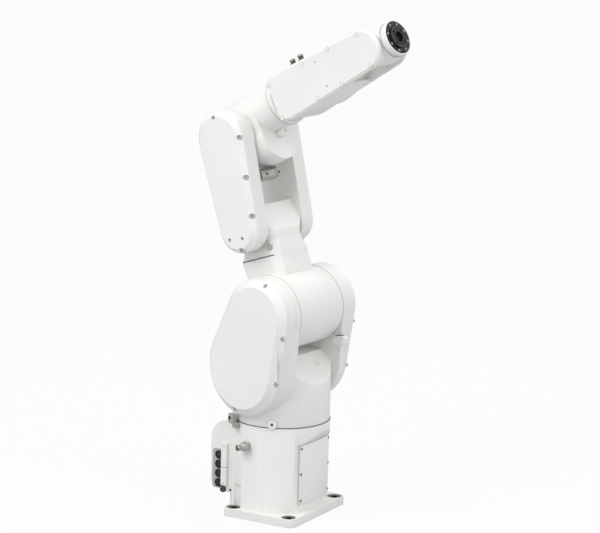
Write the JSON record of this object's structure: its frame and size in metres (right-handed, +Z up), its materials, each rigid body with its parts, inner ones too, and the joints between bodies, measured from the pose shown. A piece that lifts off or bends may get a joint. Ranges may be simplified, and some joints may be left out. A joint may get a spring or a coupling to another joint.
{
  "type": "industrial robot arm",
  "caption": "Compact six-axis industrial robot arm with lobed side covers, a forked lower arm and a round tool flange, standing on a bolted foot plate.",
  "frame": {"origin": "centre of the base's mounting face, on axis 1", "axes": "+X forward, the way the foot plate's long side and the front cover point; +Y to the arm's left; +Z up along axis 1"},
  "size_m": [0.4187, 0.2557, 0.968],
  "materials": {
    "painted_casting": "satin off-white paint on castings",
    "painted_cover": "satin off-white paint on covers",
    "black_plastic": "black moulded plastic",
    "dark_steel": "blackened steel",
    "bare_metal": "bare machined metal"
  },
  "bodies": {
    "base": {"base_casting": "painted_casting", "connector_box": "painted_cover", "port_strip": "bare_metal", "port_sockets": "black_plastic", "front_cover": "painted_cover", "column_fitting": "bare_metal", "stop_block": "dark_steel"},
    "turret": {"turret_casting": "painted_casting", "shoulder_cover_right": "painted_cover", "shoulder_cover_left": "painted_cover", "stop_boss": "painted_casting", "shoulder_clamp": "bare_metal"},
    "lower_arm": {"lower_arm_hub": "painted_casting", "lower_arm_fork": "painted_casting", "elbow_cover_right": "painted_cover", "elbow_cover_left": "painted_cover"},
    "elbow": {"elbow_housing": "painted_casting", "elbow_knob": "painted_casting", "elbow_clamp": "bare_metal"},
    "forearm": {"forearm_casting": "painted_casting", "forearm_cover_right": "painted_cover", "forearm_cover_left": "painted_cover", "forearm_belly": "painted_cover", "air_fittings": "bare_metal"},
    "wrist": {"wrist_housing": "painted_casting"},
    "flange": {"tool_flange": "dark_steel"}
  },
  "joints": [
    {"name": "axis_1", "type": "hinge", "parent": "base", "child": "turret", "pos_m": [0, 0, 0], "axis": [0, 0, 1], "range_deg": [-162, 178]},
    {"name": "axis_2", "type": "hinge", "parent": "turret", "child": "lower_arm", "pos_m": [0.01981, -0.00278, 0.399], "axis": [-0.1392, -0.9903, 0], "range_deg": [-154.7, 80.3]},
    {"name": "axis_3", "type": "hinge", "parent": "lower_arm", "child": "elbow", "pos_m": [-0.09302, 0.01307, 0.71722], "axis": [0.1392, 0.9903, 0], "range_deg": [-189.5, 80.5]},
    {"name": "axis_4", "type": "hinge", "parent": "elbow", "child": "forearm", "pos_m": [0.19899, -0.02797, 0.9143], "axis": [0.8559, -0.1203, 0.503], "range_deg": [-270, 270]},
    {"name": "axis_5", "type": "hinge", "parent": "forearm", "child": "wrist", "pos_m": [0.19899, -0.02797, 0.9143], "axis": [0.1392, 0.9903, 0], "range_deg": [-131.9, 128.1]},
    {"name": "axis_6", "type": "hinge", "parent": "wrist", "child": "flange", "pos_m": [0.19899, -0.02797, 0.9143], "axis": [0.8719, -0.1225, 0.4741], "range_deg": [-360, 360]}
  ]
}
